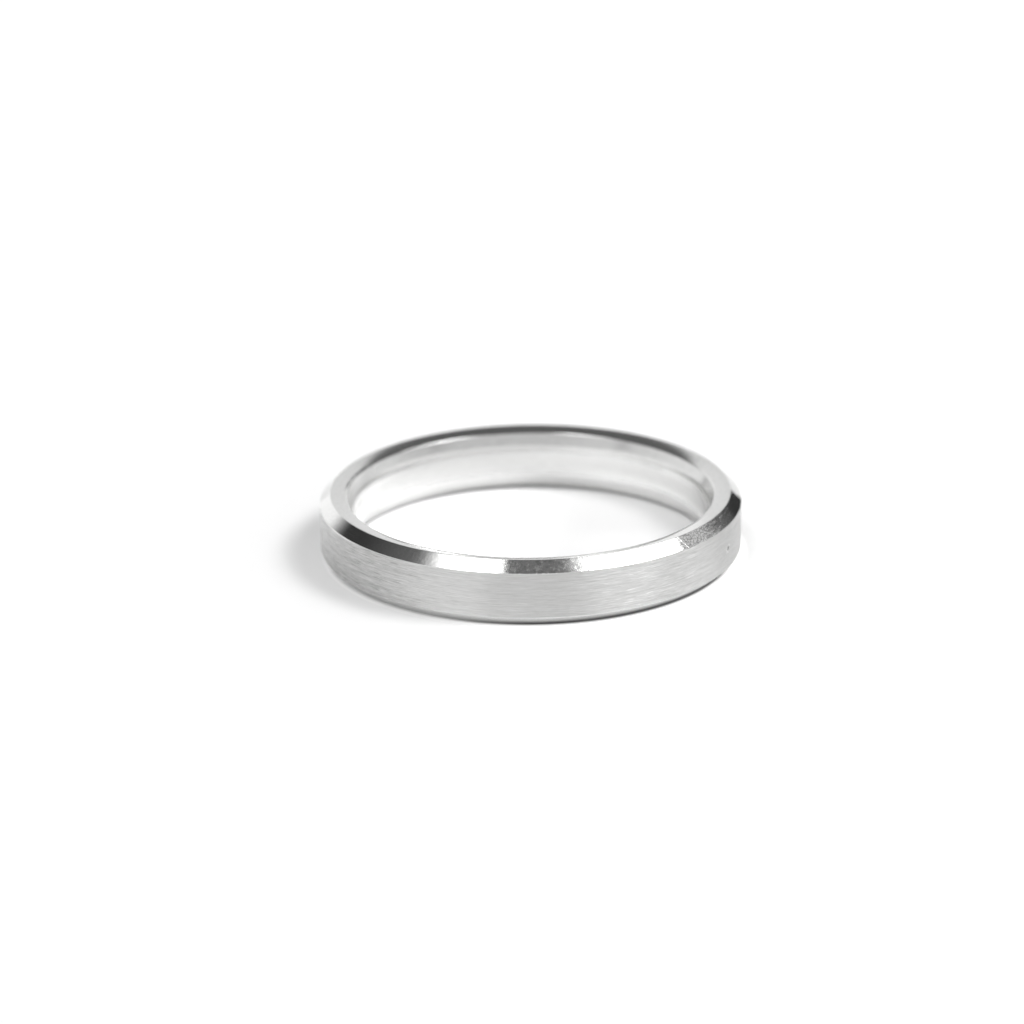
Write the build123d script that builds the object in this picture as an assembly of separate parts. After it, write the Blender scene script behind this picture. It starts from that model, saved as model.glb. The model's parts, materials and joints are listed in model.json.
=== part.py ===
from build123d import *
import math
import os

# Flat-faced wedding band with bevelled outer edges. Each edge face has a narrow
# flat land, then a crown that falls to an inner chamfer leading to the bore.
# The band lies flat: +Z runs along the finger hole, and the origin is the
# centre of the hole at half the band's width. -Y is the front.
#
# A strip of metal is bent round until its ends meet, and a thin film of solder
# closes the joint. So there are two solids: the shank, open at the joint, and
# the solder seam that fills it.

# ---- driving dimensions, millimetres and degrees --------------------------
bore_radius = 8.11        # finger size: inside circumference 51 mm
wall = 1.60               # radial thickness of the band
width = 3.00              # along the finger
bevel_radial = 0.49       # outer bevel, measured across the edge face
bevel_axial = 0.465       # outer bevel, measured down the outer face
land_radial = 0.05        # flat ring of the edge face, next to the bevel
crown_radial = 0.71       # crowned part of the edge face
crown_slope_out = 9.5     # slope of the crown where it leaves the land
crown_slope_in = 17.5     # slope of the crown where it meets the inner chamfer
chamfer_axial = 0.62      # inner chamfer, measured along the finger hole
edge_fillet = 0.025       # fillet radius for the bevel pick
crease_fillet = 0.08      # fillet radius for the crease pick
mouth_fillet = 1.00       # fillet radius for the bore pick
pick_margin = 0.01        # slack on each side of a corner pick
seam_gap = 0.10           # thickness of the solder film
seam_angle = -23.3        # place of the joint round the band, from +X
slot_overrun = 1.0        # how far the slot cutter passes each face of the band

# ---- derived --------------------------------------------------------------
outer_radius = bore_radius + wall
half_width = width / 2
bevel_top_radius = outer_radius - bevel_radial
crown_start_radius = bevel_top_radius - land_radial
crease_radius = crown_start_radius - crown_radial  # crown meets inner chamfer
slope_out = math.radians(crown_slope_out)
slope_in = math.radians(crown_slope_in)
crown_arc_radius = crown_radial / (math.sin(slope_in) - math.sin(slope_out))


def crown_point(share):
    """Point of the upper crown, at a share of the way from the land to the crease."""
    slope = slope_out + (slope_in - slope_out) * share
    return (
        crown_start_radius - crown_arc_radius * (math.sin(slope) - math.sin(slope_out)),
        half_width - crown_arc_radius * (math.cos(slope_out) - math.cos(slope)),
    )


def below(point):
    """The same point in the section's lower half."""
    return (point[0], -point[1])


def section():
    """Cross-section of the band in the XZ plane; points are (radius, height)."""
    crown = [crown_point(share) for share in (0.0, 0.5, 1.0)]
    land, crease = crown[0], crown[-1]
    bevel_top = (bevel_top_radius, half_width)
    bevel_foot = (outer_radius, half_width - bevel_axial)
    mouth = (bore_radius, crease[1] - chamfer_axial)

    with BuildSketch(Plane.XZ) as sketch:
        with BuildLine():
            Polyline(
                land, bevel_top, bevel_foot,
                below(bevel_foot), below(bevel_top), below(land),
            )
            ThreePointArc(*[below(point) for point in crown])
            Polyline(below(crease), below(mouth), mouth, crease)
            ThreePointArc(*reversed(crown))
        make_face()

        # Corners are picked by distance from the sketch's origin, so height
        # counts as well as radius. A pick that finds no corner rounds nothing.
        for nearest, farthest, fillet_radius in (
            (bevel_top_radius, outer_radius, edge_fillet),
            (crease_radius, crease_radius, crease_fillet),
            (bore_radius, bore_radius, mouth_fillet),
        ):
            corners = [
                corner for corner in sketch.vertices()
                if nearest - pick_margin
                < math.hypot(corner.X, corner.Y)
                < farthest + pick_margin
            ]
            fillet(corners, fillet_radius)
    return sketch.sketch


def joint_slot():
    """Parallel-sided cutter through one side of the band, where the ends meet."""
    slot = Box(wall + 2 * slot_overrun, seam_gap, width + 2 * slot_overrun)
    slot = Pos(bore_radius + wall / 2, 0, 0) * slot
    return Rot(0, 0, seam_angle) * slot


full_ring = revolve(section(), Axis.Z, 360)
slot = joint_slot()

parts = {
    "band_shank": full_ring - slot,
    "solder_seam": full_ring & slot,
}

os.makedirs("parts", exist_ok=True)
for name, shape in parts.items():
    solid = shape.solids()[0]
    solid.label = name
    export_step(solid, f"parts/{name}.step")
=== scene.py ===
"""A plain finger ring, lying flat on a paper floor.

The ring's axis is Z and its middle is the origin. The camera looks from -Y and above, so
-Y is the front, -X the left and +Z the upper edge face. The band is one profile swept
round Z in two solids: the shank and the thin solder seam that closes it.
Lengths are in metres unless a name or a comment says otherwise.
"""
import json
import math

import bmesh
import bpy
import numpy as np
from mathutils import Matrix, Vector


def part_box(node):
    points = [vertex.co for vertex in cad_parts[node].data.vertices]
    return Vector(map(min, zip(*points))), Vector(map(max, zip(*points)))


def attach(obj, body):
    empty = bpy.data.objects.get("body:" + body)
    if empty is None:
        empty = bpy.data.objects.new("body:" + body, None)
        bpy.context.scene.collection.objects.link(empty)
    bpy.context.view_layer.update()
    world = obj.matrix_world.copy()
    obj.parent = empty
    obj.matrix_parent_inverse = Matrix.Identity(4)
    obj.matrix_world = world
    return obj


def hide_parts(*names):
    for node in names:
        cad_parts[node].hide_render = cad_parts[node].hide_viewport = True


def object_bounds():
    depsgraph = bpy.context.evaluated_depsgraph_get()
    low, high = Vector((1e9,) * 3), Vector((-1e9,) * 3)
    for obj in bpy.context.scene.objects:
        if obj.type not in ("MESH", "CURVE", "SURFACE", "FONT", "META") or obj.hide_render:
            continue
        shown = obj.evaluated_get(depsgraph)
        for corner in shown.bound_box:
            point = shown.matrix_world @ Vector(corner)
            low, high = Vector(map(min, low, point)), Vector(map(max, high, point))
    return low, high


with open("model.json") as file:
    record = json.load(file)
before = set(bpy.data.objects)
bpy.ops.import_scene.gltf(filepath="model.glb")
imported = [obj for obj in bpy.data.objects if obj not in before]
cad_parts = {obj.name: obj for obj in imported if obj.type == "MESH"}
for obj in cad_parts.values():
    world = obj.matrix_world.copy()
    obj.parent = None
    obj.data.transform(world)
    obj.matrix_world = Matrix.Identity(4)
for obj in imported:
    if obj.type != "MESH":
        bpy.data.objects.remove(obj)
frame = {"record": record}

cad_lo, cad_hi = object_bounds()

MM = 0.001
TO_MM = 1 / MM

# ---------------------------------------------------------------------------
# sizes of the band
# ---------------------------------------------------------------------------
finger_hole = next(m for m in frame["record"]["mounts"] if m["name"] == "finger_hole")
R_OUT = cad_hi.x                        # outer radius
R_IN = finger_hole["dims"]["r_mm"] * MM
HALF = cad_hi.z                         # half the band's width
BEVEL_R = 0.49 * MM                     # bevel, across the edge face
BEVEL_Z = 0.465 * MM                    # bevel, down the outer face
LAND = 0.05 * MM                        # flat ring next to the bevel
CROWN = 0.71 * MM                       # crowned part of the edge face
SLOPE_OUT = math.radians(9.5)           # crown's slope next to the land
SLOPE_IN = math.radians(17.5)           # and where it meets the chamfer
CHAMFER_Z = 0.62 * MM                   # inner chamfer, along the hole
CREASE_SOFT = 0.08 * MM                 # radius from crown to chamfer
MOUTH_SOFT = 1.00 * MM                  # radius from chamfer to bore wall
CORNER_SOFT = 0.025 * MM                # radius of the polished outer corners
SUPPORT = 0.006 * MM                    # supporting point's distance from a span's end

GAP = 0.10 * MM                         # thickness of the solder film
seam_lo, seam_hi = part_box("solder_seam")
SEAM = math.atan2((seam_lo.y + seam_hi.y) / 2, (seam_lo.x + seam_hi.x) / 2)
SEAM = math.radians(round(math.degrees(SEAM), 1))     # angle of the joint
SHANK_COLUMNS = 1441
SEAM_COLUMNS = 25

# pinhole in the seam's outer face: half sizes and height, in mm
PIT_W, PIT_H, PIT_Z = 0.060, 0.090, -0.085
PIT_LEAN = 0.30                         # sideways shift per unit of height
PIT_DEPTH = 0.045 * MM
PIT_REACH = 0.02 * MM                   # fades out this far under the outer face

# waves left by hand finishing: strength, waves per turn, phase, phase per mm of section
WAVES = [
    (1.00, 3, 0.7, 0.9),
    (0.70, 7, -1.1, -1.7),
    (0.45, 13, 2.3, 2.9),
    (0.30, 29, -0.4, -4.1),
]
WAVE_DEPTH = 0.0016 * MM

# material zones of the section, in slot order
ZONES = ["outer", "bevel", "corner", "flat", "crease", "chamfer", "bore"]

# places on the section, worked out from the sizes
R_BEVEL = R_OUT - BEVEL_R               # top of the bevel
R_LAND = R_BEVEL - LAND                 # crown starts
R_CREASE = R_LAND - CROWN               # crown ends
CROWN_RADIUS = CROWN / (math.sin(SLOPE_IN) - math.sin(SLOPE_OUT))
CROWN_CENTRE_R = R_LAND + CROWN_RADIUS * math.sin(SLOPE_OUT)
CROWN_CENTRE_Z = HALF - CROWN_RADIUS * math.cos(SLOPE_OUT)
Z_CREASE = CROWN_CENTRE_Z + CROWN_RADIUS * math.cos(SLOPE_IN)
Z_MOUTH = Z_CREASE - CHAMFER_Z          # chamfer ends, at the bore


# ---------------------------------------------------------------------------
# cross-section: a closed counter-clockwise loop of (radius, height) points
# ---------------------------------------------------------------------------
def spread(start, end, count):
    """Inner points of a straight span, with a supporting point close to each end."""
    near = min(SUPPORT / math.dist(start, end), 0.2)
    shares = [near] + list(np.linspace(0, 1, count + 2)[1:-1]) + [1 - near]
    return [
        (start[0] + (end[0] - start[0]) * t, start[1] + (end[1] - start[1]) * t)
        for t in shares
    ]


def fillet(before, corner, after, radius, steps):
    """The arc that rounds one convex corner."""
    corner = Vector(corner)
    back = (Vector(before) - corner).normalized()
    ahead = (Vector(after) - corner).normalized()
    half = math.acos(back.dot(ahead)) / 2
    cut = radius / math.tan(half)
    centre = corner + (back + ahead).normalized() * (radius / math.sin(half))
    first = corner + back * cut
    last = corner + ahead * cut
    start = math.atan2(first.y - centre.y, first.x - centre.x)
    end = math.atan2(last.y - centre.y, last.x - centre.x)
    end -= 2 * math.pi * round((end - start) / (2 * math.pi))    # take the short way round
    return [
        (centre.x + radius * math.cos(a), centre.y + radius * math.sin(a))
        for a in np.linspace(start, end, steps + 1)
    ]


def slope_arc(centre_r, centre_z, radius, start, end, steps):
    """Arc between two slopes; a slope of 0 is the arc's top, more leans to the hole."""
    return [
        (centre_r - radius * math.sin(a), centre_z + radius * math.cos(a))
        for a in np.linspace(start, end, steps + 1)
    ]


def crease(steps):
    """Arc between the crown and the chamfer, and the crown's slope where it starts."""
    lean = math.atan2(CHAMFER_Z, R_CREASE - R_IN)
    along_r, along_z = math.cos(lean), math.sin(lean)      # up along the chamfer
    # the centre is on the chamfer's line moved inwards by the crease's radius ...
    line_r = R_CREASE + math.sin(lean) * CREASE_SOFT
    line_z = Z_CREASE - math.cos(lean) * CREASE_SOFT
    # ... and CROWN_RADIUS - CREASE_SOFT away from the crown's centre: a quadratic
    from_r, from_z = line_r - CROWN_CENTRE_R, line_z - CROWN_CENTRE_Z
    linear = from_r * along_r + from_z * along_z
    constant = from_r * from_r + from_z * from_z - (CROWN_RADIUS - CREASE_SOFT) ** 2
    root = math.sqrt(linear * linear - constant)
    shift = min((-linear + root, -linear - root), key=abs)
    centre_r, centre_z = line_r + along_r * shift, line_z + along_z * shift
    start = math.atan2(-(centre_r - CROWN_CENTRE_R), centre_z - CROWN_CENTRE_Z)
    return slope_arc(centre_r, centre_z, CREASE_SOFT, start, lean, steps), start


def below(points):
    """The same run of points on the lower half, in reverse order."""
    return [(r, -z) for r, z in reversed(points)]


def cross_section():
    """The loop's points, and the zone of the span that follows each."""
    crease_arc, crown_end = crease(14)
    mouth = fillet(crease_arc[-1], (R_IN, Z_MOUTH), (R_IN, -Z_MOUTH), MOUTH_SOFT, 16)
    crown = slope_arc(CROWN_CENTRE_R, CROWN_CENTRE_Z, CROWN_RADIUS, SLOPE_OUT, crown_end, 16)
    low_mouth, low_crease, low_crown = below(mouth), below(crease_arc), below(crown)
    outline = [
        (R_LAND, -HALF), (R_BEVEL, -HALF), (R_OUT, -HALF + BEVEL_Z),
        (R_OUT, HALF - BEVEL_Z), (R_BEVEL, HALF), (R_LAND, HALF),
    ]
    corners = [fillet(*outline[k:k + 3], CORNER_SOFT, 7) for k in range(4)]
    # points, zone of the spans between them, zone of the span after the last
    runs = [
        (low_mouth, "chamfer", "chamfer"),
        (spread(low_mouth[-1], low_crease[0], 12), "chamfer", "chamfer"),
        (low_crease, "crease", "flat"),
        (low_crown[1:], "flat", "flat"),
        (spread(low_crown[-1], corners[0][0], 4), "flat", "flat"),
        (corners[0], "corner", "bevel"),
        (spread(corners[0][-1], corners[1][0], 9), "bevel", "bevel"),
        (corners[1], "corner", "outer"),
        (spread(corners[1][-1], corners[2][0], 34), "outer", "outer"),
        (corners[2], "corner", "bevel"),
        (spread(corners[2][-1], corners[3][0], 9), "bevel", "bevel"),
        (corners[3], "corner", "flat"),
        (spread(corners[3][-1], crown[0], 4), "flat", "flat"),
        (crown[:-1], "flat", "flat"),
        (crease_arc, "crease", "chamfer"),
        (spread(crease_arc[-1], mouth[0], 12), "chamfer", "chamfer"),
        (mouth, "chamfer", "bore"),
        (spread(mouth[-1], low_mouth[0], 22), "bore", "bore"),
    ]
    loop, zones = [], []
    for points, zone, after in runs:
        loop += points
        zones += [zone] * (len(points) - 1) + [after]
    return np.array(loop), zones


def section_normals():
    """Outward unit normal at each point of the section."""
    chord = np.roll(section, -1, 0) - np.roll(section, 1, 0)
    normals = np.stack([chord[:, 1], -chord[:, 0]], 1)
    return normals / np.linalg.norm(normals, axis=1, keepdims=True)


section, section_zones = cross_section()
normals = section_normals()
COUNT = len(section)
# distance round the section to each point, and last the whole way round
travel = np.concatenate([[0], np.cumsum(np.hypot(*(np.roll(section, -1, 0) - section).T))])


# ---------------------------------------------------------------------------
# the two swept solids
# ---------------------------------------------------------------------------
def waver(angle):
    """Depth removed by hand finishing; it only cuts inwards, so nothing stands proud."""
    along = travel[:COUNT] / MM
    wave = sum(
        strength * np.sin(lobes * angle + phase + drift * along)
        for strength, lobes, phase, drift in WAVES
    )
    total = sum(row[0] for row in WAVES)
    return (wave / total * 0.5 + 0.5) * WAVE_DEPTH


def pinhole(angle):
    """Depth of the leaning pinhole in the seam's outer face."""
    radius, height = section.T
    up = height / MM - PIT_Z
    across = (angle - SEAM) * R_OUT / MM - PIT_LEAN * up
    distance = np.sqrt((across / PIT_W) ** 2 + (up / PIT_H) ** 2)
    on_face = np.clip((radius - (R_OUT - PIT_REACH)) / PIT_REACH, 0, 1)
    return on_face * PIT_DEPTH * np.clip(1 - distance ** 2, 0, 1) ** 0.7


def shank_angle(share, half_gap):
    return SEAM + half_gap + (2 * math.pi - 2 * half_gap) * share


def seam_angle(share, half_gap):
    return SEAM + half_gap * (2 * share - 1)


def sweep(name, angle_at, columns, pit=None):
    """A closed solid: the section swept round Z, with a flat cap at each end."""
    share = np.arange(columns)[:, None] / (columns - 1)
    # the film has parallel faces, so its angle depends on the radius
    angle = angle_at(share, np.arcsin(GAP / 2 / section[:, 0]))
    cut = waver(angle)
    if pit is not None:
        cut = cut + pit(angle)
    r = section[:, 0] - normals[:, 0] * cut
    z = section[:, 1] - normals[:, 1] * cut
    verts = np.stack([r * np.cos(angle), r * np.sin(angle), z], -1).reshape(-1, 3)

    # column and section index of each quad's four corners
    i, j = np.meshgrid(np.arange(columns - 1), np.arange(COUNT), indexing="ij")
    column = np.stack([i, i, i + 1, i + 1], -1)
    point = np.stack([j, j + 1, j + 1, j], -1)
    quads = (column * COUNT + point % COUNT).reshape(-1, 4)
    faces = [tuple(quad) for quad in quads.tolist()]
    faces.append(tuple(reversed(range(COUNT))))
    faces.append(tuple(range((columns - 1) * COUNT, columns * COUNT)))
    mesh = bpy.data.meshes.new(name)
    mesh.from_pydata(verts.tolist(), [], faces)

    # UV: u once round the band, v once round the section; caps at 1 unit to 20 mm
    side_uv = np.stack([column / (columns - 1), travel[point] / travel[-1]], -1).reshape(-1, 2)
    cap_uv = (section - (R_IN, -HALF)) / 0.02
    uv = np.concatenate([side_uv, cap_uv[::-1], cap_uv])
    mesh.uv_layers.new(name="UVMap").data.foreach_set("uv", uv.astype(np.float32).ravel())

    slots = np.tile([ZONES.index(zone) for zone in section_zones], columns - 1)
    slots = np.concatenate([slots, [ZONES.index("flat")] * 2])
    mesh.polygons.foreach_set("material_index", slots.astype(np.int32))
    smooth = np.ones(len(faces), bool)
    smooth[-2:] = False
    mesh.polygons.foreach_set("use_smooth", smooth)
    mesh.update()
    face_outwards(mesh)
    obj = bpy.data.objects.new(name, mesh)
    bpy.context.scene.collection.objects.link(obj)
    return obj


def face_outwards(mesh):
    """Turn the faces outwards and keep the rims of the two caps crisp."""
    work = bmesh.new()
    work.from_mesh(mesh)
    if work.calc_volume(signed=True) < 0:
        bmesh.ops.reverse_faces(work, faces=work.faces[:])
    for edge in work.edges:
        if any(not face.smooth for face in edge.link_faces):
            edge.smooth = False
    work.to_mesh(mesh)
    work.free()


shank = sweep("band_shank_finished", shank_angle, SHANK_COLUMNS)
seam = sweep("solder_seam_finished", seam_angle, SEAM_COLUMNS, pinhole)


# ---------------------------------------------------------------------------
# shader arithmetic
# ---------------------------------------------------------------------------
def add_node(tree, kind, inputs=None, **settings):
    """A new node; each input is given a Value to link or a constant."""
    node = tree.nodes.new(kind)
    for key, setting in settings.items():
        setattr(node, key, setting)
    set_inputs(node, inputs or {})
    return node


def set_inputs(node, inputs):
    for key, value in inputs.items():
        if isinstance(value, Value):
            value.tree.links.new(value.socket, node.inputs[key])
        else:
            node.inputs[key].default_value = value


def output_of(tree, kind, inputs=None, output=0, **settings):
    return Value(tree, add_node(tree, kind, inputs, **settings).outputs[output])


def calc(operation, *terms):
    """One Math node; at least one of the terms is a Value."""
    tree = next(term.tree for term in terms if isinstance(term, Value))
    return output_of(tree, "ShaderNodeMath", dict(enumerate(terms)), operation=operation)


class Value:
    """An output socket; each arithmetic operation on it makes one Math node."""

    def __init__(self, tree, socket):
        self.tree = tree
        self.socket = socket

    def __add__(self, other): return calc("ADD", self, other)
    def __radd__(self, other): return calc("ADD", other, self)
    def __sub__(self, other): return calc("SUBTRACT", self, other)
    def __rsub__(self, other): return calc("SUBTRACT", other, self)
    def __mul__(self, other): return calc("MULTIPLY", self, other)
    def __rmul__(self, other): return calc("MULTIPLY", other, self)
    def __truediv__(self, other): return calc("DIVIDE", self, other)
    def __pow__(self, other): return calc("POWER", self, other)
    def __abs__(self): return calc("ABSOLUTE", self)
    def at_most(self, limit): return calc("MINIMUM", self, limit)
    def at_least(self, limit): return calc("MAXIMUM", self, limit)

    def ramp(self, start, end, to=(0.0, 1.0)):
        """Smooth step from to[0] at start to to[1] at end; start may be the larger."""
        if end < start:
            start, end, to = end, start, to[::-1]
        inputs = {
            "Value": self, "From Min": start, "From Max": end, "To Min": to[0], "To Max": to[1],
        }
        return output_of(self.tree, "ShaderNodeMapRange", inputs, "Result",
                         interpolation_type="SMOOTHSTEP", clamp=True)

    def window(self, one_side, other_side):
        """1 between two ramps; each pair runs from where it is 0 to where it is 1."""
        return self.ramp(*one_side) * self.ramp(*other_side)

    def span(self, low, high):
        """1 between low and high, each given as (place, softness)."""
        return self.window((low[0] - low[1], low[0] + low[1]),
                           (high[0] + high[1], high[0] - high[1]))

    def mix(self, other, factor):
        """This value where factor is 0, the other where it is 1."""
        inputs = {0: factor, 2: self, 3: other}
        return output_of(self.tree, "ShaderNodeMix", inputs, data_type="FLOAT")


def length(x, y):
    return calc("SQRT", x * x + y * y)


def separate(vector):
    node = add_node(vector.tree, "ShaderNodeSeparateXYZ", {0: vector})
    return [Value(vector.tree, socket) for socket in node.outputs]


def combine(red, green, blue):
    return output_of(red.tree, "ShaderNodeCombineColor", {0: red, 1: green, 2: blue})


class Metal:
    """A bare metal material, with the tools its surface is described with."""

    def __init__(self, name):
        self.material = bpy.data.materials.new(name)
        self.material.use_nodes = True
        self.tree = self.material.node_tree
        self.tree.nodes.clear()
        output = add_node(self.tree, "ShaderNodeOutputMaterial")
        self.bsdf = add_node(self.tree, "ShaderNodeBsdfPrincipled", {"Metallic": 1.0})
        self.tree.links.new(self.bsdf.outputs[0], output.inputs["Surface"])
        self.position = output_of(self.tree, "ShaderNodeTexCoord", output="Object")
        self.axes = separate(self.position)

    def stretched(self, scale, offset):
        """Object position times scale (cells per metre) plus offset."""
        inputs = {0: self.position, 1: scale, 2: offset}
        return output_of(self.tree, "ShaderNodeVectorMath", inputs, operation="MULTIPLY_ADD")

    def noise(self, scale, offset=(0, 0, 0), detail=2.0, rough=0.5):
        inputs = {
            "Vector": self.stretched(scale, offset),
            "Scale": 1.0, "Detail": detail, "Roughness": rough,
        }
        return output_of(self.tree, "ShaderNodeTexNoise", inputs, "Fac", noise_dimensions="3D")

    def cell_edges(self, scale):
        """Distance to the nearest edge of a net of cells."""
        inputs = {"Vector": self.stretched(scale, (0, 0, 0)), "Scale": 1.0}
        return output_of(self.tree, "ShaderNodeTexVoronoi", inputs, "Distance",
                         feature="DISTANCE_TO_EDGE")

    def finish(self, body, roughness, bumps):
        """Set the grey, the roughness and a chain of (height, distance) bumps."""
        inputs = {"Base Color": combine(body, body, body * 0.992), "Roughness": roughness}
        normal = None
        for height, distance in bumps:
            settings = {"Distance": distance, "Height": height}
            if normal is not None:
                settings["Normal"] = normal
            normal = output_of(self.tree, "ShaderNodeBump", settings)
        inputs["Normal"] = normal
        set_inputs(self.bsdf, inputs)


# ---------------------------------------------------------------------------
# metal surfaces; in each, `body` is the grey level of the metal
# ---------------------------------------------------------------------------
def outer_face(metal, tone):
    """Satin brushing: fine overlapping hair lines round the band."""
    x, y, z = metal.axes
    long_lines = metal.noise((620, 620, 28000))
    fine_lines = metal.noise((2000, 2000, 48000), offset=(3.1, 1.7, 9.2), rough=0.6)
    broad_lines = metal.noise((220, 220, 7000), offset=(7.7, 4.4, 1.3))
    cuts = metal.noise((1150, 1150, 28000), offset=(5.5, 8.1, 0.4), detail=1.0)
    lines = long_lines * 0.36 + (fine_lines * 0.48 + broad_lines * 0.16)

    # broad light and dark stretches, from left to right: painted reflections of the studio's lamps and
    # of the floor's shadow
    left = x.ramp(-2.5e-3, -7.0e-3)
    right = x.window((0.8e-3, 4.0e-3), (8.2e-3, 6.5e-3))
    painted_shade_far_left = x.window((-5.4e-3, -7.2e-3), (-9.6e-3, -8.9e-3))
    lit_left = x.window((-6.4e-3, -4.6e-3), (-1.0e-3, -3.0e-3)) * 0.16
    lit_right = x.window((1.4e-3, 3.4e-3), (6.4e-3, 4.8e-3)) * 0.10
    lit = lit_left + (lit_right + x.ramp(-8.6e-3, -9.3e-3, to=(0, 0.09)))
    dark = painted_shade_far_left * 0.06 + x.ramp(7.0e-3, 9.2e-3, to=(0, 0.07))
    level = 0.508 * tone * (1.0 + (lit - dark))

    # lines, then dark strokes (heavier at the left) and painted glints of light (stronger at the
    # right)
    body = level + (lines - 0.5) * (0.46 + (left + right * 0.6) * 0.58)
    body *= 1.0 - cuts.ramp(0.40, 0.30) * (0.06 + left * 0.30)
    body *= 1.0 + cuts.ramp(0.62, 0.70) * (0.03 + right * 0.20)

    # painted shade in the pinhole's throat and a painted highlight on its lip, a little larger than
    # the pit itself
    up = z * TO_MM - PIT_Z
    around = calc("ARCTAN2", y, x) - SEAM
    across = (around * (R_OUT / MM) - up * 0.45) / (PIT_W * 1.5)
    from_pit = length(across, up / (PIT_H * 1.15))
    painted_lip_highlight = from_pit.window((0.95, 1.25), (2.3, 1.5))
    body *= from_pit.ramp(1.05, 0.8, to=(1.0, 0.06)) + painted_lip_highlight * 0.30

    # painted highlight: a pale line along the upper rim, far left
    rim = z.ramp(0.93e-3, 1.01e-3) * x.window((-9.55e-3, -9.35e-3), (-7.6e-3, -8.6e-3))
    body = (body + rim * 0.35).at_most(0.96)

    tangent = output_of(metal.tree, "ShaderNodeTangent", direction_type="RADIAL", axis="Z")
    set_inputs(metal.bsdf, {
        "Anisotropic": 0.7,
        "Anisotropic Rotation": 0.25,
        "Tangent": tangent,
    })
    roughness = lines.ramp(0.32, 0.68, to=(0.40, 0.28))
    metal.finish(body, roughness, [(long_lines, 1.2e-6), (fine_lines, 0.8e-6)])


def polished_edge(metal, tone):
    """Bevels and rounded corners: polished, with faint grain and some worn places."""
    x, y, z = metal.axes
    grain = metal.noise((9000, 9000, 9000), detail=3.0, rough=0.6)
    hair = metal.noise((1800, 1800, 30000), offset=(1.0, 5.0, 2.0))
    pebble = metal.noise((13000, 13000, 13000), offset=(2.0, 0.5, 6.0), rough=0.6)
    chatter = metal.noise((1900, 1900, 60), offset=(4.0, 2.0, 8.0))
    patch = metal.noise((5200, 5200, 5200), offset=(9.0, 3.0, 1.0), detail=3.0, rough=0.65)
    streak = metal.noise((1500, 1500, 26000), offset=(6.0, 2.0, 3.0), rough=0.6)
    upper_front = z.ramp(-0.2e-3, 0.2e-3) * y.ramp(1.0e-3, -1.5e-3)

    # pebbled right of the middle and far right, faintly in the middle
    worn_right = x.window((0.4e-3, 2.6e-3), (4.2e-3, 3.2e-3))
    worn_far = x.window((6.9e-3, 7.5e-3), (9.5e-3, 8.9e-3))
    worn = worn_right + worn_far * x.ramp(7.6e-3, 8.3e-3, to=(1.0, 1.9))
    faint = x.window((-2.6e-3, -0.6e-3), (1.6e-3, 0.6e-3))
    worn = (worn + faint * 0.4) * upper_front
    chattered = x.window((-6.6e-3, -5.4e-3), (-3.0e-3, -3.8e-3))

    # a net of fine dark cuts at the right
    body = grain.ramp(0.3, 0.7, to=(0.64 * tone, 0.69 * tone))
    net = metal.cell_edges((7000, 7000, 9000)).ramp(0.20, 0.06) * pebble.ramp(0.40, 0.55)
    netted = upper_front * x.window((6.45e-3, 6.70e-3), (8.9e-3, 7.9e-3))
    body *= 1.0 - netted * (net * 0.65)

    # painted glints and dark flecks in the middle, where the bevel mirrors a dark part of the studio
    glint_zone = upper_front * x.window((-1.3e-3, -0.8e-3), (3.6e-3, 2.4e-3))
    painted_glints_and_flecks = patch.ramp(0.52, 0.70) * 0.75 - patch.ramp(0.48, 0.34) * 0.22
    body = (body * (1.0 + glint_zone * painted_glints_and_flecks)).at_most(0.95)

    # rougher in a haze right of the middle and in streaks far right
    haze = upper_front * x.window((0.9e-3, 2.2e-3), (5.0e-3, 3.6e-3))
    streaked = upper_front * x.window((7.3e-3, 7.8e-3), (9.0e-3, 8.4e-3))
    streaks = streaked * streak.ramp(0.50, 0.62)
    roughness = hair.ramp(0.3, 0.7, to=(0.05, 0.10)) + (haze * 0.12 + streaks * 0.22)

    # one fine scratch, in mm: it crosses the bevel at the front right with a lean
    around = (calc("ARCTAN2", y, x) - math.radians(-44.6)) * (R_OUT / MM)
    inward = R_OUT / MM - 0.25 - length(x, y) * TO_MM
    scratch = abs(around - inward * -0.6).ramp(0.016, 0.004)
    metal.finish(body, roughness, [
        (grain, 0.25e-6),
        (hair, 0.12e-6),
        (pebble * worn, 4.0e-6),
        (chatter * chattered, 6.0e-6),
        (scratch, -1.6e-6),
    ])


def edge_face(metal, tone):
    """Upper and lower edge faces: land and crown."""
    x, y, _ = metal.axes
    grain = metal.noise((7000, 7000, 7000), detail=3.0, rough=0.6)
    wavy = metal.noise((2200, 2200, 0), rough=0.6)

    # painted reflection: brighter at the front right
    body = grain.ramp(0.3, 0.7, to=(0.61 * tone, 0.66 * tone))
    painted_highlight_front_right = x.window((0.5e-3, 4.0e-3), (8.4e-3, 6.8e-3)) * y.ramp(-2e-3, -5e-3)
    body += painted_highlight_front_right * 0.22

    # painted dark reflections: darker on the hole side at the front right, and in waves at the back
    # left
    hole_side = length(x, y).ramp(8.66e-3, 8.55e-3)
    front_right = x.window((2.2e-3, 5.2e-3), (8.0e-3, 7.2e-3)) * y.ramp(-1e-3, -3e-3)
    back_left = x.ramp(-7.4e-3, -7.9e-3) * y.ramp(0.2e-3, 1.4e-3) * wavy.ramp(0.30, 0.56)
    body *= 1.0 - hole_side * (front_right * 0.80 + back_left * 0.75)
    metal.finish(body, grain.ramp(0.3, 0.7, to=(0.14, 0.09)), [(grain, 0.25e-6)])


# zone: grey level, roughness range, where the far left starts and ends, its painted extra light
INNER_FINISH = {
    "crease": (0.63, (0.10, 0.15), (-7.65e-3, -8.2e-3), 0.27),
    "chamfer": (0.63, (0.13, 0.18), (-7.65e-3, -8.2e-3), 0.27),
    "bore": (0.655, (0.22, 0.27), (-7.95e-3, -8.15e-3), 0.28),
}


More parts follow.
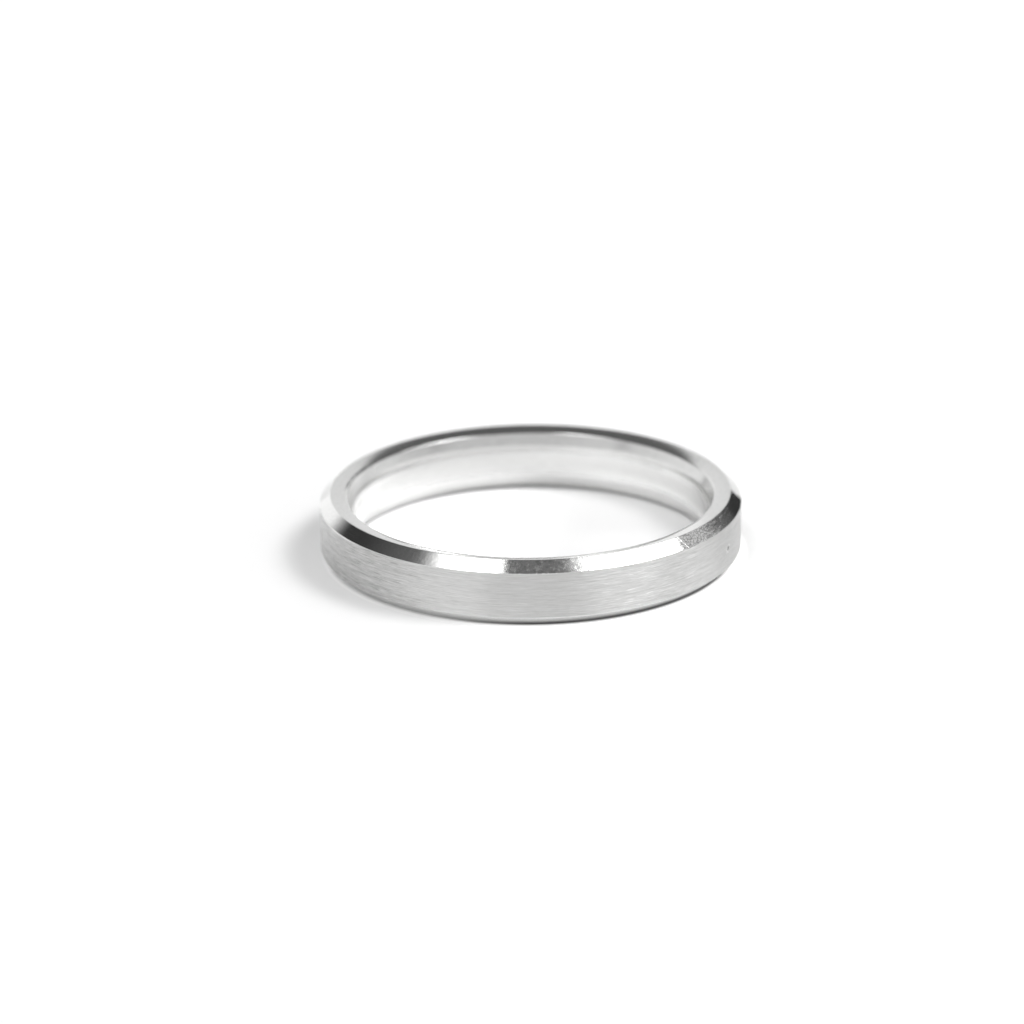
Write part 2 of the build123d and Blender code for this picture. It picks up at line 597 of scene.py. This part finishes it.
def inner_face(metal, tone, zone):
    """Polished crease; chamfer and bore left a little softer by the inside buff."""
    x, y, z = metal.axes
    base, rough_range, far_left, far_left_light = INNER_FINISH[zone]
    soft = metal.noise((260, 260, 900), detail=3.0)
    grain = metal.noise((2500, 2500, 22000), detail=3.0, rough=0.6)
    body = grain.ramp(0.3, 0.7, to=(base * tone, (base + 0.06) * tone))
    # painted reflection: extra light on the far left, where the inside mirrors the lit right side
    body += x.ramp(*far_left, to=(0, far_left_light))

    if zone != "crease":
        # painted reflections: the lighter and darker places below stand in for the studio and floor
        # mirrored in the hole
        # a little lighter towards mid-width
        body += abs(z).ramp(0.80e-3, 0.62e-3, to=(0, 0.045))
        # darker near the edge faces, at the back on both sides
        back_sides = y.ramp(0.8e-3, 2.6e-3) * abs(x).ramp(6.4e-3, 7.6e-3)
        body *= 1.0 - back_sides * abs(z).ramp(0.60e-3, 0.80e-3, to=(0, 0.10))
        # lighter strip on the upper half, at the back right and the left
        strip = y.ramp(1.4e-3, 3.2e-3) * x.ramp(5.6e-3, 6.8e-3) * 0.16
        strip += x.ramp(-5.6e-3, -7.4e-3, to=(0, 0.22))
        body += strip * (abs(z).ramp(0.80e-3, 0.66e-3) * z.ramp(0.30e-3, 0.50e-3))
        # painted light: lighter lower half, at the right and less at the left
        right_or_left = x.ramp(0.5e-3, 4.5e-3) + x.ramp(-3.5e-3, -7.0e-3, to=(0, 0.35))
        body += z.ramp(0.0, -0.7e-3) * right_or_left * 0.22

    body = body.at_most(0.96)
    roughness = grain.ramp(0.3, 0.7, to=rough_range)
    if zone == "chamfer":
        # rougher where it rolls into the bore, and at the left
        roughness += abs(z).ramp(0.82e-3, 0.60e-3, to=(0, 0.20))
        roughness += x.ramp(-6.4e-3, -7.8e-3, to=(0, 0.16))
    metal.finish(body, roughness, [(soft, 1.2e-6), (grain, 0.25e-6)])


OUTSIDE_FINISH = {
    "outer": outer_face,
    "bevel": polished_edge,
    "corner": polished_edge,
    "flat": edge_face,
}


def metal_material(name, zone, tone):
    metal = Metal(name)
    if zone in INNER_FINISH:
        inner_face(metal, tone, zone)
    else:
        OUTSIDE_FINISH[zone](metal, tone)
    return metal.material


# the solder is slightly darker than the band
for obj, prefix, tone in ((shank, "metal", 1.0), (seam, "solder", 0.975)):
    for zone in ZONES:
        obj.data.materials.append(metal_material(f"{prefix}_{zone}", zone, tone))

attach(shank, "root")
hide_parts("band_shank")
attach(seam, "root")
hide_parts("solder_seam")


# ---------------------------------------------------------------------------
# floor
# ---------------------------------------------------------------------------
FLOOR_RINGS = [0.01, 0.02, 0.04, 0.1, 0.4, 1.5]     # radii
FLOOR_SIDES = 96
FLOOR_DROP = 2e-6                                   # clearance under the band


def floor_material():
    """Paper with a painted contact shadow in its colour; the light that metal and hole throw on it is
    painted in as emission.
    """
    material = bpy.data.materials.new("floor_paper")
    material.use_nodes = True
    tree = material.node_tree
    x, y, _ = separate(output_of(tree, "ShaderNodeTexCoord", output="Object"))
    radius = length(x, y) * TO_MM                   # in mm, unlike x and y

    # painted contact shadow: the contact line is darker than the paper, most at the right
    shade = x.ramp(-4.6e-3, 0.4e-3, to=(0.80, 0.12)).mix(0.9, radius.ramp(9.23, 9.38))
    shade = (shade + radius.ramp(9.16, 9.06, to=(0, 0.7))).at_most(0.9)

    front = y.ramp(5.5e-3, 0.5e-3)
    # inside the hole, strongest at the left
    in_hole = radius.ramp(8.55, 8.20) * x.ramp(3e-3, -5e-3, to=(0.03, 0.34))
    # narrow ring just outside the band
    ring = front * radius.window((9.32, 9.52), (9.74, 9.55))
    ring *= x.ramp(-6.2e-3, -0.6e-3, to=(0.09, 0.36))
    # right part of the hole, towards the front
    hole_right = radius.ramp(8.2, 7.6) * (x.ramp(1e-3, 4e-3) * y.ramp(3.2e-3, 0.8e-3)) * 0.06
    hole_left = radius.ramp(9.05, 8.70) * x.ramp(-3.2e-3, -6.5e-3) * 0.10
    # wider ring, growing to the right
    wash = radius.window((9.48, 9.70), (10.1, 9.8)) * x.ramp(-4.2e-3, 1.6e-3, to=(0, 0.40))
    # broad spots at the front right and the right
    spot = x.ramp(3e-3, 8e-3) * (y.ramp(-1e-3, -5e-3) * radius.window((9.6, 10.6), (20.0, 15.0)))
    side = x.ramp(8e-3, 10e-3) * radius.window((9.7, 10.2), (16.0, 12.0))
    glow = in_hole + ring + hole_right + hole_left + wash * front + spot * 0.25 + side * 0.06

    set_inputs(tree.nodes["Principled BSDF"], {
        "Base Color": combine(shade, shade, shade),
        "Roughness": 0.9,
        "Specular IOR Level": 0.1,
        "Emission Color": (1, 1, 1, 1),
        "Emission Strength": glow + x.ramp(-9e-3, -2e-3, to=(0.02, 0.06)),
    })
    return material


def floor():
    """A disc of rings round one middle vertex."""
    verts, faces = [(0, 0, 0)], []
    for radius in FLOOR_RINGS:
        for i in range(FLOOR_SIDES):
            angle = 2 * math.pi * i / FLOOR_SIDES
            verts.append((radius * math.cos(angle), radius * math.sin(angle), 0))
    for i in range(FLOOR_SIDES):
        faces.append((0, 1 + i, 1 + (i + 1) % FLOOR_SIDES))
    for k in range(len(FLOOR_RINGS) - 1):
        first = 1 + k * FLOOR_SIDES
        for i in range(FLOOR_SIDES):
            here, beside = first + i, first + (i + 1) % FLOOR_SIDES
            faces.append((here, here + FLOOR_SIDES, beside + FLOOR_SIDES, beside))
    mesh = bpy.data.meshes.new("floor")
    mesh.from_pydata(verts, [], faces)
    obj = bpy.data.objects.new("floor", mesh)
    obj.location = (0, 0, -HALF - FLOOR_DROP)
    bpy.context.scene.collection.objects.link(obj)
    mesh.materials.append(floor_material())


floor()


# ---------------------------------------------------------------------------
# studio: a world of soft cards, laid out on a plan of the sky. On the plan the
# zenith is at (0, 0), the horizon is the unit circle and +Y is the far side.
# ---------------------------------------------------------------------------
def studio():
    world = bpy.data.worlds.new("studio")
    bpy.context.scene.world = world
    world.use_nodes = True
    tree = world.node_tree
    tree.nodes.clear()
    output = add_node(tree, "ShaderNodeOutputWorld")
    background = add_node(tree, "ShaderNodeBackground")
    tree.links.new(background.outputs[0], output.inputs[0])
    x, y, z = separate(output_of(tree, "ShaderNodeTexCoord", output="Generated"))
    flat_length = length(x, y).at_least(1e-5)
    from_zenith = calc("ARCCOSINE", z.at_least(-1.0).at_most(1.0)) / (math.pi / 2)
    plan_x = from_zenith * (x / flat_length)
    plan_y = from_zenith * (y / flat_length)

    def turned(centre_x, centre_y, degrees):
        """The plan's coordinates seen from a centre, turned by some degrees."""
        turn = math.radians(degrees)
        dx, dy = plan_x - centre_x, plan_y - centre_y
        u = dx * math.cos(turn) + dy * math.sin(turn)
        v = dx * -math.sin(turn) + dy * math.cos(turn)
        return u, v

    # pale room, a little brighter to the left, and brighter all round the horizon
    light = plan_x.ramp(-0.1, -0.7, to=(0.74, 0.88))
    light = light.mix(1.20, from_zenith.ramp(0.68, 0.90))

    # dark room beyond and above the set, with a lighter part in the middle of the far side
    u, v = turned(0, 0, 0)
    far_middle = u.span((-0.22, 0.10), (0.22, 0.10)) * v.ramp(0.30, 0.42)
    shade = v.ramp(-0.10, 0.34, to=(0.19, 0.05)).mix(0.155, far_middle)
    dark_room = v.ramp(-0.34, -0.14) * plan_x.ramp(-0.64, -0.57) * plan_x.ramp(0.64, 0.57)
    light = light.mix(shade, dark_room)
    # grey patch close to the zenith
    light = light.mix(0.215, u.span((-0.16, 0.08), (0.26, 0.08)) * v.span((-0.27, 0.08), (0.02, 0.08)))

    # low back: white sweep, brightest to the left, with a softer edge there
    rim = v + (u + 0.1).at_most(0.0) * -0.25
    low = rim.ramp(0.612, 0.660).mix(rim.ramp(0.55, 0.765), u.ramp(-0.15, -0.45))
    light = light.mix(u.ramp(-0.02, -0.38, to=(0.96, 1.28)), low * u.ramp(-0.62, -0.52))

    # grey flat between the right soft box and the dark card
    u, v = turned(0.56, 0.31, 0)
    light = light.mix(0.82, u.span((-0.06, 0.02), (0.10, 0.03)) * v.span((-0.16, 0.03), (0.11, 0.035)))

    # tall black card at the right, far side; its near end is shifted along u
    u, v = turned(0.47, 0.70, 17)
    shifted = u - v.ramp(0.20, 0.08, to=(0, 0.035))
    card = shifted.span((-0.09, 0.02), (0.035, 0.02)) * v.span((-0.245, 0.04), (0.325, 0.025))
    light = light.mix(v.ramp(-0.28, 0.02, to=(0.22, 0.045)), card)

    # two soft boxes overhead, left and right, each with a long soft end
    u, v = turned(-0.251, -0.145, -24)
    box = u.ramp(-0.27, 0.05) ** 1.9 * u.ramp(0.165, 0.10) * v.span((-0.15, 0.04), (0.15, 0.035))
    light = light.mix(6.0, box)
    u, v = turned(0.435, -0.05, -40)
    box = plan_x.ramp(0.56, 0.50) * v.ramp(-0.39, -0.08) ** 2.8
    box = box * u.span((-0.14, 0.06), (0.09, 0.03)) * v.ramp(0.237, 0.193)
    light = light.mix(v.ramp(-0.05, 0.15, to=(12.0, 5.0)), box)

    # the camera itself sees plain white
    light = light.mix(1.0, output_of(tree, "ShaderNodeLightPath", output="Is Camera Ray"))
    set_inputs(background, {"Color": (1, 1, 1, 1), "Strength": light})


studio()


# ---------------------------------------------------------------------------
# camera, and a focus point that keeps to the near side of the band
# ---------------------------------------------------------------------------
CAMERA_PLACE = Vector((0.0, -0.150045, 0.055326))
CAMERA_RIGHT = Vector((0.99994, 0.001687, -0.011004))
CAMERA_UP = Vector((0.009752, 0.34402, 0.93891))    # squared up against the right axis


def camera():
    scene = bpy.context.scene
    data = bpy.data.cameras.new("camera")
    data.sensor_width = 36.0
    data.lens = 121.57
    data.clip_start = 0.005
    data.clip_end = 20.0
    cam = bpy.data.objects.new("camera", data)
    scene.collection.objects.link(cam)
    back = CAMERA_RIGHT.cross(CAMERA_UP).normalized()
    up = back.cross(CAMERA_RIGHT).normalized()
    pose = Matrix((CAMERA_RIGHT.normalized(), up, back)).transposed().to_4x4()
    pose.translation = CAMERA_PLACE
    cam.matrix_world = pose
    scene.camera = cam

    # an empty on the axis turns to the camera and carries the focus point round
    turn = bpy.data.objects.new("focus_turn", None)
    scene.collection.objects.link(turn)
    track = turn.constraints.new("LOCKED_TRACK")
    track.target = cam
    track.track_axis = "TRACK_X"
    track.lock_axis = "LOCK_Z"
    focus = bpy.data.objects.new("focus_point", None)
    focus.parent = turn
    focus.location = (R_OUT * 0.90, 0, HALF * 0.6)
    scene.collection.objects.link(focus)
    data.dof.use_dof = True
    data.dof.focus_object = focus
    data.dof.aperture_fstop = 47.0


camera()

view = bpy.context.scene.view_settings
view.view_transform = "Standard"
view.look = "None"
view.exposure = 0.0
view.gamma = 1.0
